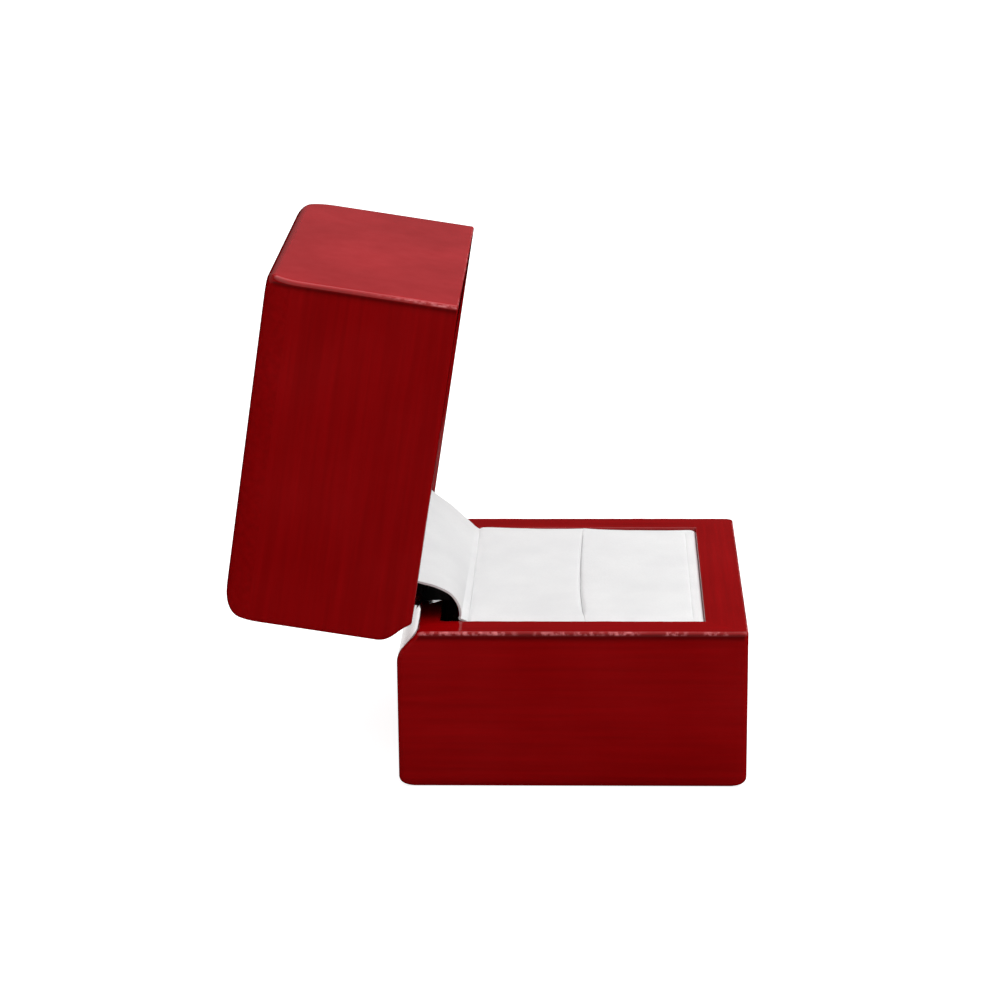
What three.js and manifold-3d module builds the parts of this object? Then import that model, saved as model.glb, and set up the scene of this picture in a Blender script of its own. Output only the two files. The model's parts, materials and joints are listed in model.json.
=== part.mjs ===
// A lacquered wooden ring box with a snap hinge, standing open.
// Millimetres, +Z up. Origin: centre of the underside. The front faces -Y, the hinge is at +Y.
// The lid is drawn shut, then turned back about the hinge axis by its opening angle.

import * as THREE from "three";
import { mergeVertices } from "three/addons/utils/BufferGeometryUtils.js";
import Module from "manifold-3d";

const wasm = await Module();
wasm.setup();

// case
const boxWidth = 64;
const boxDepth = 58;
const baseHeight = 27.4;
const lidHeight = 31.4;
const rimGap = 0.2; // between the two rims when shut
const sideWall = 6;
const frontWall = 7;
const rearWall = 7;
const uprightEdgeRadius = 1;
const footEdgeRadius = 1.6;
const lidSideRadius = 4;
const lidFrontRadius = 2;
const lidRearRadius = 3;
const lidTopThickness = 4.5;
const hollowDepth = 3.5; // hollowed rear edge, measured forwards from the back
const hollowHeight = 5.3; // and measured away from the rim
const hollowPulls = [[0.3, 0.42], [0.95, 0.5]]; // its two curve handles, as shares of depth and height
const glueGap = 0.3; // between boards of the case
const fitGap = 0.3; // between a piece and what it lies in or on

// underside
const floorThickness = 2.8;
const feltThickness = 1;
const feltProud = 0.2;
const feltInset = 3;

// ring pads
const cardThickness = 1.6;
const coverThickness = 0.8;
const padRecess = 0.4; // top of the pads below the rim
const ringSlit = 1.2;
const frontPadLength = 19.8;
const lidPadThickness = 6.8;
const linerThickness = 1.2;
const linerRecess = 0.6; // edge of the lining inside the lid's rim

// hinge
const openAngle = 81;
const hingeInset = 2.5; // axis forwards of the back of the case
const hingeWidth = 30;
const knuckleCount = 5;
const knuckleRadius = 1.15;
const knuckleGap = 0.3;
const pinRadius = 0.5;
const pinClearance = 0.06;
const leafThickness = 0.7;
const leafHalfGap = 0.15; // leaf from the plane between the rims
const leafDrop = 9.6; // length of the leaf against the wall
const screwSpacing = 18;
const screwDrop = 6.6; // screw from the plane between the rims
const screwShankRadius = 0.8;
const screwHeadRadius = 1.5;
const screwHeadHeight = 0.9;
const screwSlotWidth = 0.5;
const screwLength = 4.6;
const springWidth = 8;
const springThickness = 0.4;
const springDrop = 4.6; // length of the spring's feet
const springRoom = 1.1; // free room between the spring and the flap
const flapThickness = 0.7;
const flapTail = 6; // tucked in behind the rear pad, and the same in the lid
const flapBulge = 0.7;
const flapSideGap = 0.5;

const halfWidth = boxWidth / 2;
const halfDepth = boxDepth / 2;
const innerHalfWidth = halfWidth - sideWall;
const innerFront = frontWall - halfDepth;
const innerRear = halfDepth - rearWall;
const axisY = halfDepth - hingeInset;
const axisZ = baseHeight + rimGap / 2;
const lidBottom = baseHeight + rimGap;
const lidTop = lidBottom + lidHeight;
const lidCeiling = lidTop - lidTopThickness;
const hingeBay = fitGap * 4 + linerThickness + screwHeadHeight + leafThickness; // behind the rear pad
const over = 10; // cutters run this far past what they cut
const turns = 24; // sides of a small round piece
const arcSteps = 6;

const lacquer = material(0x7a0103, 0.18, 0);
const rawWood = material(0x9c6a45, 0.8, 0);
const felt = material(0x1c1a1a, 0.95, 0);
const card = material(0xb8a483, 0.9, 0);
const foam = material(0xe9e4d2, 0.95, 0);
const leatherette = material(0xececea, 0.65, 0);
const steel = material(0xb9bbc0, 0.3, 1);
const brass = material(0xc9a557, 0.3, 1);

function material(color, roughness, metalness) {
  return new THREE.MeshStandardMaterial({ color, roughness, metalness });
}

// ---- solids

function solidOf(geometry) {
  const bare = geometry.clone();
  bare.deleteAttribute("normal");
  bare.deleteAttribute("uv");
  const merged = mergeVertices(bare, 1e-4);
  const mesh = new wasm.Mesh({
    numProp: 3,
    vertProperties: new Float32Array(merged.attributes.position.array),
    triVerts: new Uint32Array(merged.index.array),
  });
  return new wasm.Manifold(mesh);
}

function geometryOf(solid) {
  const mesh = solid.getMesh();
  const geometry = new THREE.BufferGeometry();
  geometry.setAttribute("position", new THREE.BufferAttribute(mesh.vertProperties, 3));
  geometry.setIndex(new THREE.BufferAttribute(mesh.triVerts, 1));
  geometry.computeVertexNormals();
  return geometry;
}

function block(x0, x1, y0, y1, z0, z1) {
  const box = new THREE.BoxGeometry(x1 - x0, y1 - y0, z1 - z0);
  return solidOf(box.translate((x0 + x1) / 2, (y0 + y1) / 2, (z0 + z1) / 2));
}

function extruded(shape, depth) {
  return new THREE.ExtrudeGeometry(shape, { depth, bevelEnabled: false, curveSegments: arcSteps });
}

// an outline in X and Y, standing from z0 to z1
function upright(shape, z0, z1) {
  return solidOf(extruded(shape, z1 - z0).translate(0, 0, z0));
}

// an outline in Y and Z, running from x0 to x1
function sideways(shape, x0, x1) {
  const turn = new THREE.Matrix4().makeBasis(
    new THREE.Vector3(0, 1, 0),
    new THREE.Vector3(0, 0, 1),
    new THREE.Vector3(1, 0, 0),
  );
  return solidOf(extruded(shape, x1 - x0).applyMatrix4(turn).translate(x0, 0, 0));
}

// an outline in X and Z, running from y0 to y1
function frontways(shape, y0, y1) {
  return solidOf(extruded(shape, y1 - y0).rotateX(Math.PI / 2).translate(0, y1, 0));
}

// a cylinder along X
function rod(radius, x0, x1, y, z) {
  const cylinder = new THREE.CylinderGeometry(radius, radius, x1 - x0, turns);
  return solidOf(cylinder.rotateZ(Math.PI / 2).translate((x0 + x1) / 2, y, z));
}

// a rectangle whose four corners have their own radii, from the lower left and round to the right
function roundedRectangle(u0, u1, v0, v1, radii) {
  const [lowerLeft, lowerRight, upperRight, upperLeft] = radii;
  const shape = new THREE.Shape();
  shape.moveTo(u0 + lowerLeft, v0);
  shape.lineTo(u1 - lowerRight, v0);
  if (lowerRight) shape.absarc(u1 - lowerRight, v0 + lowerRight, lowerRight, -Math.PI / 2, 0);
  shape.lineTo(u1, v1 - upperRight);
  if (upperRight) shape.absarc(u1 - upperRight, v1 - upperRight, upperRight, 0, Math.PI / 2);
  shape.lineTo(u0 + upperLeft, v1);
  if (upperLeft) shape.absarc(u0 + upperLeft, v1 - upperLeft, upperLeft, Math.PI / 2, Math.PI);
  shape.lineTo(u0, v0 + lowerLeft);
  if (lowerLeft) shape.absarc(u0 + lowerLeft, v0 + lowerLeft, lowerLeft, Math.PI, Math.PI * 1.5);
  return shape;
}

function polygon(points) {
  return new THREE.Shape(points.map(([u, v]) => new THREE.Vector2(u, v)));
}

// ---- case

const planOutline = roundedRectangle(
  -halfWidth, halfWidth, -halfDepth, halfDepth, new Array(4).fill(uprightEdgeRadius),
);

// the hollowed rear edge of a rim at rimZ, cut away in the direction up (1) or down (-1)
function rearHollow(rimZ, up) {
  const y0 = halfDepth - hollowDepth;
  const pulls = hollowPulls.map(([u, v]) => [y0 + u * hollowDepth, rimZ + up * v * hollowHeight]);
  const shape = new THREE.Shape();
  shape.moveTo(y0, rimZ - up * over);
  shape.lineTo(y0, rimZ);
  shape.bezierCurveTo(...pulls.flat(), halfDepth, rimZ + up * hollowHeight);
  shape.lineTo(halfDepth + over, rimZ + up * hollowHeight);
  shape.lineTo(halfDepth + over, rimZ - up * over);
  return sideways(shape, -halfWidth - over, halfWidth + over);
}

function caseBody(z0, z1, sideRadii, endRadii) {
  const sides = roundedRectangle(-halfWidth, halfWidth, z0, z1, sideRadii);
  const ends = roundedRectangle(-halfDepth, halfDepth, z0, z1, endRadii);
  return upright(planOutline, z0, z1)
    .intersect(frontways(sides, -halfDepth - over, halfDepth + over))
    .intersect(sideways(ends, -halfWidth - over, halfWidth + over));
}

// plan outlines of the four walls, mitred at the corners with the glue gap between them
function mitredPlans() {
  const past = 2; // the plans run past the case, out to this many wall thicknesses
  // a point of a corner's mitre, moved off it along X for an end wall or along Y for a side wall
  const point = (signX, signY, times, offX) => {
    const wall = signY < 0 ? frontWall : rearWall;
    const slope = Math.hypot(sideWall, wall);
    return [
      signX * (innerHalfWidth + sideWall * times - (offX * glueGap * slope) / wall / 2),
      signY * (halfDepth - wall + wall * times - ((1 - offX) * glueGap * slope) / sideWall / 2),
    ];
  };
  const end = (signY) => polygon([
    point(-1, signY, 0, 1), point(1, signY, 0, 1), point(1, signY, past, 1), point(-1, signY, past, 1),
  ]);
  const side = (signX) => polygon([
    point(signX, -1, 0, 0), point(signX, 1, 0, 0), point(signX, 1, past, 0), point(signX, -1, past, 0),
  ]);
  return { front: end(-1), rear: end(1), left: side(-1), right: side(1) };
}

function walls(body, z0, z1) {
  const pieces = {};
  for (const [side, plan] of Object.entries(mitredPlans())) {
    pieces[side] = body.intersect(upright(plan, z0, z1));
  }
  return pieces;
}

function baseWalls() {
  const foot = footEdgeRadius;
  const hollow = rearHollow(baseHeight, -1);
  const feltBed = block(
    feltInset - halfWidth, halfWidth - feltInset,
    feltInset - halfDepth, halfDepth - feltInset, -over, feltThickness + fitGap,
  );
  const body = caseBody(feltProud, baseHeight, [foot, foot, 0, 0], [foot, foot, 0, 0]);
  const pieces = walls(body.subtract(hollow).subtract(feltBed), 0, baseHeight);
  pieces.rear = pieces.rear.subtract(hingeHousing(-1)).subtract(screwHoles(-1));
  return pieces;
}

function lidBody() {
  const side = lidSideRadius;
  const body = caseBody(lidBottom, lidTop, [0, 0, side, side], [0, 0, lidRearRadius, lidFrontRadius]);
  return body.subtract(rearHollow(lidBottom, 1));
}

function lidWalls(body) {
  const pieces = walls(body, lidBottom, lidCeiling - glueGap);
  pieces.rear = pieces.rear.subtract(hingeHousing(1)).subtract(screwHoles(1));
  return pieces;
}

function lidTopPanel(body) {
  return body.intersect(block(
    -halfWidth - over, halfWidth + over, -halfDepth - over, halfDepth + over, lidCeiling, lidTop + over,
  ));
}

// ---- underside

const floorBottom = feltThickness + fitGap;
const floorTop = floorBottom + floorThickness;

function baseFloor() {
  return block(
    fitGap - innerHalfWidth, innerHalfWidth - fitGap,
    innerFront + fitGap, innerRear - fitGap, floorBottom, floorTop,
  );
}

function baseFelt() {
  const inset = feltInset + fitGap;
  return block(inset - halfWidth, halfWidth - inset, inset - halfDepth, halfDepth - inset, 0, feltThickness);
}

// ---- ring pads and the lid's pad

const padHalfWidth = innerHalfWidth - fitGap;
const padTop = baseHeight - padRecess;
const cardTop = floorTop + fitGap + cardThickness;
const frontPad = [innerFront + fitGap, innerFront + fitGap + frontPadLength];
const rearPad = [frontPad[1] + ringSlit, innerRear - hingeBay];
const lidPadHalfWidth = innerHalfWidth - fitGap * 2 - linerThickness;
const lidPadSpan = [innerFront + fitGap * 2 + linerThickness, rearPad[1]];
const lidCardBottom = lidCeiling - glueGap - cardThickness;
const lidPadBottom = lidCardBottom - fitGap - lidPadThickness;

function paddingBoard() {
  const inset = coverThickness;
  return block(
    inset - padHalfWidth, padHalfWidth - inset,
    frontPad[0] + inset, rearPad[1] - inset, floorTop + fitGap, cardTop,
  );
}

// cloth over a pad: a cap, open on the side that is glued down
function padCover(halfX, span, z0, z1, faceUp) {
  const skin = coverThickness;
  const floor = faceUp ? z0 - over : z0 + skin;
  const ceiling = faceUp ? z1 - skin : z1 + over;
  const outside = block(-halfX, halfX, span[0], span[1], z0, z1);
  return outside.subtract(
    block(skin - halfX, halfX - skin, span[0] + skin, span[1] - skin, floor, ceiling),
  );
}

function padFoam(halfX, span, z0, z1, faceUp) {
  const inset = coverThickness + fitGap;
  const bottom = faceUp ? z0 : z0 + inset;
  const top = faceUp ? z1 - inset : z1;
  return block(inset - halfX, halfX - inset, span[0] + inset, span[1] - inset, bottom, top);
}

function lidPadBoard() {
  return block(
    -lidPadHalfWidth, lidPadHalfWidth, lidPadSpan[0], lidPadSpan[1],
    lidCardBottom, lidCardBottom + cardThickness,
  );
}

function lidLiners() {
  const z0 = lidBottom + linerRecess;
  const z1 = lidCeiling - glueGap;
  const outer = innerHalfWidth - fitGap;
  const front = innerFront + fitGap;
  const rear = rearPad[1] + fitGap;
  return {
    front: block(-outer, outer, front, front + linerThickness, z0, z1),
    rear: block(-outer, outer, rear, rear + linerThickness, z0 + flapTail, z1),
    left: block(-outer, linerThickness - outer, lidPadSpan[0], lidPadSpan[1], z0, z1),
    right: block(outer - linerThickness, outer, lidPadSpan[0], lidPadSpan[1], z0, z1),
  };
}

// ---- hinge; up is 1 for the lid's half and -1 for the base's half

const leafFront = innerRear - fitGap - leafThickness;
const knucklePitch = (hingeWidth + knuckleGap) / knuckleCount;
const screwXs = [-screwSpacing / 2, screwSpacing / 2];

function zBlock(x0, x1, y0, y1, up, near, far) {
  const ends = [axisZ + up * near, axisZ + up * far].sort((a, b) => a - b);
  return block(x0, x1, y0, y1, ends[0], ends[1]);
}

// room in the rear wall for the leaf and the knuckles
function hingeHousing(up) {
  const half = hingeWidth / 2 + fitGap;
  const bed = zBlock(
    -half, half, innerRear - over, axisY, up, -over, leafHalfGap + leafThickness + fitGap,
  );
  return bed.add(rod(knuckleRadius + fitGap, -half, half, axisY, axisZ));
}

function screwHoles(up) {
  const z = axisZ + up * screwDrop;
  const hole = new THREE.CylinderGeometry(
    screwShankRadius + fitGap, screwShankRadius + fitGap, screwLength + fitGap + over, turns,
  );
  const y = leafFront + screwLength + fitGap - (screwLength + fitGap + over) / 2;
  const holes = screwXs.map((x) => solidOf(hole.clone().translate(x, y, z)));
  return holes[0].add(holes[1]);
}

function hingeLeaf(up) {
  const half = hingeWidth / 2;
  const nearPlate = leafHalfGap;
  const farPlate = leafHalfGap + leafThickness;
  const clearOfKnuckles = axisY - knuckleRadius - fitGap;
  let leaf = zBlock(-half, half, leafFront, clearOfKnuckles, up, nearPlate, farPlate);
  leaf = leaf.add(
    zBlock(-half, half, leafFront, leafFront + leafThickness, up, nearPlate, nearPlate + leafDrop),
  );
  for (let i = up > 0 ? 1 : 0; i < knuckleCount; i += 2) {
    const x0 = -half + i * knucklePitch;
    const x1 = x0 + knucklePitch - knuckleGap;
    const tab = zBlock(x0, x1, clearOfKnuckles - leafThickness, axisY, up, nearPlate, farPlate);
    leaf = leaf.add(tab).add(rod(knuckleRadius, x0, x1, axisY, axisZ));
  }
  const bore = rod(pinRadius + pinClearance, -half - over, half + over, axisY, axisZ);
  return leaf.subtract(bore).subtract(screwHoles(up));
}

function hingePin() {
  return rod(pinRadius, -hingeWidth / 2, hingeWidth / 2, axisY, axisZ);
}

// a round-headed screw that points backwards
function screw(x, up) {
  const head = screwHeadHeight;
  const slotDepth = head / 2;
  const profile = [new THREE.Vector2(0, screwLength)];
  profile.push(new THREE.Vector2(screwShankRadius, screwLength - screwShankRadius));
  profile.push(new THREE.Vector2(screwShankRadius, -fitGap));
  for (let i = 0; i <= arcSteps; i += 1) {
    const angle = (i / arcSteps) * (Math.PI / 2);
    const radius = screwHeadRadius * Math.cos(angle);
    profile.push(new THREE.Vector2(i < arcSteps ? radius : 0, -fitGap - head * Math.sin(angle)));
  }
  const body = new THREE.LatheGeometry(profile.reverse(), turns);
  body.translate(x, leafFront, axisZ + up * screwDrop);
  const slot = zBlock(
    x - screwSlotWidth / 2, x + screwSlotWidth / 2, leafFront - over, leafFront - fitGap - head + slotDepth,
    up, screwDrop - screwHeadRadius, screwDrop + screwHeadRadius,
  );
  return solidOf(body).subtract(slot);
}

// ---- strips that bend over the hinge, drawn with the lid open

const openRadians = THREE.MathUtils.degToRad(openAngle);

// where a point of the base's half lies on the lid's half once the lid is open
function acrossTheHinge([y, z]) {
  const forward = y - axisY;
  const up = axisZ - z;
  return [
    axisY + forward * Math.cos(openRadians) + up * Math.sin(openRadians),
    axisZ - forward * Math.sin(openRadians) + up * Math.cos(openRadians),
  ];
}

function alongTheBisector(distance) {
  const middle = Math.PI - openRadians / 2;
  return [axisY + distance * Math.cos(middle), axisZ + distance * Math.sin(middle)];
}

// a strip of even thickness along a line of points
function strip(points, thickness, halfX) {
  const normals = points.map((point, i) => {
    const before = points[Math.max(i - 1, 0)];
    const after = points[Math.min(i + 1, points.length - 1)];
    const length = Math.hypot(after[0] - before[0], after[1] - before[1]);
    return [(before[1] - after[1]) / length, (after[0] - before[0]) / length];
  });
  const side = (sign) => points.map(([y, z], i) => [
    y + (sign * normals[i][0] * thickness) / 2,
    z + (sign * normals[i][1] * thickness) / 2,
  ]);
  return sideways(polygon([...side(1), ...side(-1).reverse()]), -halfX, halfX);
}

// a bow from a point on the rim's level to the same point of the lid, crowned at reach from the axis
function bow(start, reach) {
  const chordMiddle = (axisY - start[0]) * Math.cos(openRadians / 2);
  const curve = new THREE.QuadraticBezierCurve(
    new THREE.Vector2(...start),
    new THREE.Vector2(...alongTheBisector(reach * 2 - chordMiddle)),
    new THREE.Vector2(...acrossTheHinge(start)),
  );
  return curve.getPoints(arcSteps * 2).map((point) => [point.x, point.y]);
}

const flapY = rearPad[1] + fitGap + flapThickness / 2;
const flapReach = (axisY - flapY) * Math.cos(openRadians / 2) + flapBulge;

function hingeCover() {
  const tail = [flapY, axisZ - flapTail];
  const points = [tail, ...bow([flapY, axisZ], flapReach), acrossTheHinge(tail)];
  return strip(points, flapThickness, innerHalfWidth - flapSideGap);
}

function snapSpring() {
  const y = leafFront - fitGap - springThickness / 2;
  const reach = flapReach - springRoom - (flapThickness + springThickness) / 2;
  const foot = [y, axisZ - springDrop];
  const points = [foot, ...bow([y - springThickness / 2, axisZ], reach), acrossTheHinge(foot)];
  return strip(points, springThickness, springWidth / 2);
}

// ---- the object

const box = new THREE.Group();
const lid = new THREE.Group();
const lidInside = new THREE.Group();
lid.position.set(0, axisY, axisZ);
lid.rotation.x = -openRadians;
lidInside.position.set(0, -axisY, -axisZ);
lid.add(lidInside);
box.add(lid);

function place(group, name, solid, finish) {
  const mesh = new THREE.Mesh(geometryOf(solid), finish);
  mesh.name = name;
  group.add(mesh);
}

for (const [side, wall] of Object.entries(baseWalls())) {
  place(box, `base_${side}_wall`, wall, lacquer);
}
place(box, "base_floor", baseFloor(), rawWood);
place(box, "base_felt", baseFelt(), felt);
place(box, "pad_backing_board", paddingBoard(), card);

const padBottom = cardTop + fitGap;
for (const [side, span] of [["front", frontPad], ["rear", rearPad]]) {
  place(box, `${side}_pad_foam`, padFoam(padHalfWidth, span, padBottom, padTop, true), foam);
  place(box, `${side}_pad_cover`, padCover(padHalfWidth, span, padBottom, padTop, true), leatherette);
}

place(box, "hinge_base_leaf", hingeLeaf(-1), steel);
place(box, "hinge_pin", hingePin(), steel);
place(box, "snap_spring", snapSpring(), steel);
place(box, "hinge_cover", hingeCover(), leatherette);

const wholeLid = lidBody();
for (const [side, wall] of Object.entries(lidWalls(wholeLid))) {
  place(lidInside, `lid_${side}_wall`, wall, lacquer);
}
place(lidInside, "lid_top_panel", lidTopPanel(wholeLid), lacquer);
for (const [side, liner] of Object.entries(lidLiners())) {
  place(lidInside, `lid_liner_${side}`, liner, leatherette);
}
const lidPad = [lidPadHalfWidth, lidPadSpan, lidPadBottom, lidCardBottom - fitGap, false];
place(lidInside, "lid_pad_board", lidPadBoard(), card);
place(lidInside, "lid_pad_foam", padFoam(...lidPad), foam);
place(lidInside, "lid_pad_cover", padCover(...lidPad), leatherette);
place(lidInside, "hinge_lid_leaf", hingeLeaf(1), steel);

for (const [i, side] of ["left", "right"].entries()) {
  place(box, `base_leaf_screw_${side}`, screw(screwXs[i], -1), brass);
  place(lidInside, `lid_leaf_screw_${side}`, screw(screwXs[i], 1), brass);
}

export default box;
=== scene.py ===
import json
import math

import bmesh
import bpy
from mathutils import Matrix, Vector, noise

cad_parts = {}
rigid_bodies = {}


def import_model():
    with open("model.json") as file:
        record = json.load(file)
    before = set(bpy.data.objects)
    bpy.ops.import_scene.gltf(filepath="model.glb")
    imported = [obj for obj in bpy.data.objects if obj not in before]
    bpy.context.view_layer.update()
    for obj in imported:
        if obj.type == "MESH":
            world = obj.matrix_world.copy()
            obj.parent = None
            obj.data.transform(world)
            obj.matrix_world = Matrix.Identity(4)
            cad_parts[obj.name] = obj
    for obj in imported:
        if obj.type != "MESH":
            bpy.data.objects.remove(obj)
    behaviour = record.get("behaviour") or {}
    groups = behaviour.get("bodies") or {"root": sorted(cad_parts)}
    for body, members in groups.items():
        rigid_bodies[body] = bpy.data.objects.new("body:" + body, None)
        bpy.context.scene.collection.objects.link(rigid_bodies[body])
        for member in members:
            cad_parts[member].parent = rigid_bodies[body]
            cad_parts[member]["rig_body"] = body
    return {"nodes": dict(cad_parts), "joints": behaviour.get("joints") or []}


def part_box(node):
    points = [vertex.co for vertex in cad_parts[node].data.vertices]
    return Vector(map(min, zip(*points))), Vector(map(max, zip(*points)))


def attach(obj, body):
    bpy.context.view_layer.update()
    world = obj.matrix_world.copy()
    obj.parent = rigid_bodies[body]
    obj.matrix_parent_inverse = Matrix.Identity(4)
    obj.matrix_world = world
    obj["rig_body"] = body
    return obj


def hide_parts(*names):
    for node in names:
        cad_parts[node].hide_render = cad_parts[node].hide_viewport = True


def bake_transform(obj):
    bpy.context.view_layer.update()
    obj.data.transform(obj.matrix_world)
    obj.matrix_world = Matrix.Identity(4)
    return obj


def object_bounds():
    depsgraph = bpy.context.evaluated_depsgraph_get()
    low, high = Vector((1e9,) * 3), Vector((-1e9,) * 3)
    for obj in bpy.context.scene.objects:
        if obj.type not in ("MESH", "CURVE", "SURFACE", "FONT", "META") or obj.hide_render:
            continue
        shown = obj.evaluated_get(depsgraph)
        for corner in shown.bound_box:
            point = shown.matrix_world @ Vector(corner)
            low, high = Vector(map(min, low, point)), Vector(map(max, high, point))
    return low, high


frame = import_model()
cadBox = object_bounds()
nodes = frame["nodes"]
hinge = frame["joints"][0]
mm = 0.001

# the lid's pieces are made shut and then turned open about the hinge, so both halves share one grain
hingeAxis = Vector(hinge["pos_m"])
openAngle = math.radians(hinge["range_deg"][1])
lidOpen = Matrix.Translation(hingeAxis) @ Matrix.Rotation(-openAngle, 4, "X") @ Matrix.Translation(-hingeAxis)
bodyPlace = {"base": Matrix.Identity(4), "lid": lidOpen}


def shutBox(node):
    # lowest and highest corner of a node with the lid shut
    body = nodes[node]["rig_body"]
    back = bodyPlace[body].inverted()
    corners = [back @ v.co for v in nodes[node].data.vertices]
    low = Vector([min(c[i] for c in corners) for i in range(3)])
    high = Vector([max(c[i] for c in corners) for i in range(3)])
    return low, high


# camera

cameraSetup = {
    "position": (-0.49948, -0.00446, 0.19124),
    "forward": (0.956854, 0.032912, -0.288698),
    "up": (0.288860, -0.000193, 0.957371),
    "lens": 108.42,
    "sensor": 36,
    "clipStart": 0.01,
}


def makeCamera(v):
    data = bpy.data.cameras.new("studioCamera")
    data.lens = v["lens"]
    data.sensor_width = v["sensor"]
    data.clip_start = v["clipStart"]
    camera = bpy.data.objects.new("studioCamera", data)
    forward = Vector(v["forward"]).normalized()
    right = forward.cross(Vector(v["up"])).normalized()
    up = right.cross(forward)
    turn = Matrix((right, up, -forward)).transposed().to_4x4()
    camera.matrix_world = Matrix.Translation(v["position"]) @ turn
    bpy.context.scene.collection.objects.link(camera)
    bpy.context.scene.camera = camera


makeCamera(cameraSetup)
print("camera set")

# shader groups

noiseSpan = (0.3, 0.7)  # where most of a noise texture's values lie


def newGroup(name, inputs, outputs):
    tree = bpy.data.node_groups.new(name, "ShaderNodeTree")
    for label, kind, value in inputs:
        socket = tree.interface.new_socket(name=label, in_out="INPUT", socket_type=kind)
        if value is not None:
            socket.default_value = value
    for label, kind in outputs:
        tree.interface.new_socket(name=label, in_out="OUTPUT", socket_type=kind)
    return tree, tree.nodes.new("NodeGroupInput"), tree.nodes.new("NodeGroupOutput")


def addNode(tree, kind, **settings):
    node = tree.nodes.new(kind)
    for key, value in settings.items():
        setattr(node, key, value)
    return node


def feed(tree, value, socket):
    # a socket takes a link, or a value of its own
    if isinstance(value, bpy.types.NodeSocket):
        tree.links.new(value, socket)
    else:
        socket.default_value = value


def mathNode(tree, operation, a, b):
    node = addNode(tree, "ShaderNodeMath", operation=operation)
    feed(tree, a, node.inputs[0])
    feed(tree, b, node.inputs[1])
    return node.outputs[0]


def mixColor(tree, factor, a, b):
    node = addNode(tree, "ShaderNodeMix", data_type="RGBA")
    for number, value in ((0, factor), (6, a), (7, b)):
        feed(tree, (*value, 1) if isinstance(value, tuple) else value, node.inputs[number])
    return node.outputs[2]


def scaleColor(tree, color, level):
    node = addNode(tree, "ShaderNodeVectorMath", operation="SCALE")
    tree.links.new(color, node.inputs[0])
    tree.links.new(level, node.inputs["Scale"])
    return node.outputs[0]


def stretchVector(tree, vector, stretch):
    node = addNode(tree, "ShaderNodeVectorMath", operation="MULTIPLY")
    tree.links.new(vector, node.inputs[0])
    feed(tree, stretch, node.inputs[1])
    return node.outputs[0]


def noiseNode(tree, vector, scale, detail=2.0, roughness=0.5):
    node = addNode(tree, "ShaderNodeTexNoise")
    tree.links.new(vector, node.inputs["Vector"])
    feed(tree, scale, node.inputs["Scale"])
    node.inputs["Detail"].default_value = detail
    node.inputs["Roughness"].default_value = roughness
    return node.outputs["Fac"]


def rampRange(tree, value, low, high, outLow=0.0, outHigh=1.0):
    node = addNode(tree, "ShaderNodeMapRange")
    tree.links.new(value, node.inputs["Value"])
    for label, number in zip(("From Min", "From Max", "To Min", "To Max"), (low, high, outLow, outHigh)):
        node.inputs[label].default_value = number
    return node.outputs["Result"]


grainShape = {"poreFineness": 2.7, "poreSpan": (0.56, 0.74), "waveFineness": 2.5}


def grainGroup(v):
    # long fine streaks of wood under the lacquer, with slow cloudy changes of depth
    tree, start, end = newGroup(
        "woodGrain",
        [("Vector", "NodeSocketVector", None), ("Stretch", "NodeSocketVector", (1, 1, 1)),
         ("Streaks", "NodeSocketFloat", 900.0), ("Clouds", "NodeSocketFloat", 45.0)],
        [("Streak", "NodeSocketFloat"), ("Pore", "NodeSocketFloat"), ("Cloud", "NodeSocketFloat"),
         ("Wave", "NodeSocketFloat")],
    )
    vector, streaks, clouds = [start.outputs[label] for label in ("Vector", "Streaks", "Clouds")]
    stretched = stretchVector(tree, vector, start.outputs["Stretch"])
    streak = noiseNode(tree, stretched, streaks, 3.0, 0.6)
    pore = noiseNode(tree, stretched, mathNode(tree, "MULTIPLY", streaks, v["poreFineness"]), 1.0)
    cloud = noiseNode(tree, vector, clouds, 3.0, 0.55)
    wave = noiseNode(tree, vector, mathNode(tree, "MULTIPLY", clouds, v["waveFineness"]), 1.0)
    tree.links.new(rampRange(tree, streak, *noiseSpan), end.inputs["Streak"])
    tree.links.new(rampRange(tree, pore, *v["poreSpan"]), end.inputs["Pore"])
    tree.links.new(rampRange(tree, cloud, *noiseSpan), end.inputs["Cloud"])
    tree.links.new(wave, end.inputs["Wave"])
    return tree


skinShape = {"creaseSpan": (0.35, 0.75), "slowHeight": 1.6}


def skinGroup(v):
    # pebbled skin: rounded cells with fine creases between them, and slow unevenness below
    tree, start, end = newGroup(
        "pebbledSkin",
        [("Vector", "NodeSocketVector", None), ("Pebbles", "NodeSocketFloat", 2600.0),
         ("Unevenness", "NodeSocketFloat", 120.0)],
        [("Height", "NodeSocketFloat"), ("Crease", "NodeSocketFloat"), ("Tone", "NodeSocketFloat")],
    )
    cells = addNode(tree, "ShaderNodeTexVoronoi", feature="F1")
    tree.links.new(start.outputs["Vector"], cells.inputs["Vector"])
    tree.links.new(start.outputs["Pebbles"], cells.inputs["Scale"])
    crease = rampRange(tree, cells.outputs["Distance"], *v["creaseSpan"])
    slow = noiseNode(tree, start.outputs["Vector"], start.outputs["Unevenness"], 3.0)
    height = mathNode(tree, "SUBTRACT", mathNode(tree, "MULTIPLY", slow, v["slowHeight"]), crease)
    tree.links.new(height, end.inputs["Height"])
    tree.links.new(crease, end.inputs["Crease"])
    tree.links.new(rampRange(tree, slow, *noiseSpan), end.inputs["Tone"])
    return tree


fibreShape = {"directions": ((1, 0.12, 1), (0.12, 1, 1)), "toneSpan": (0.4, 0.75)}


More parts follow.
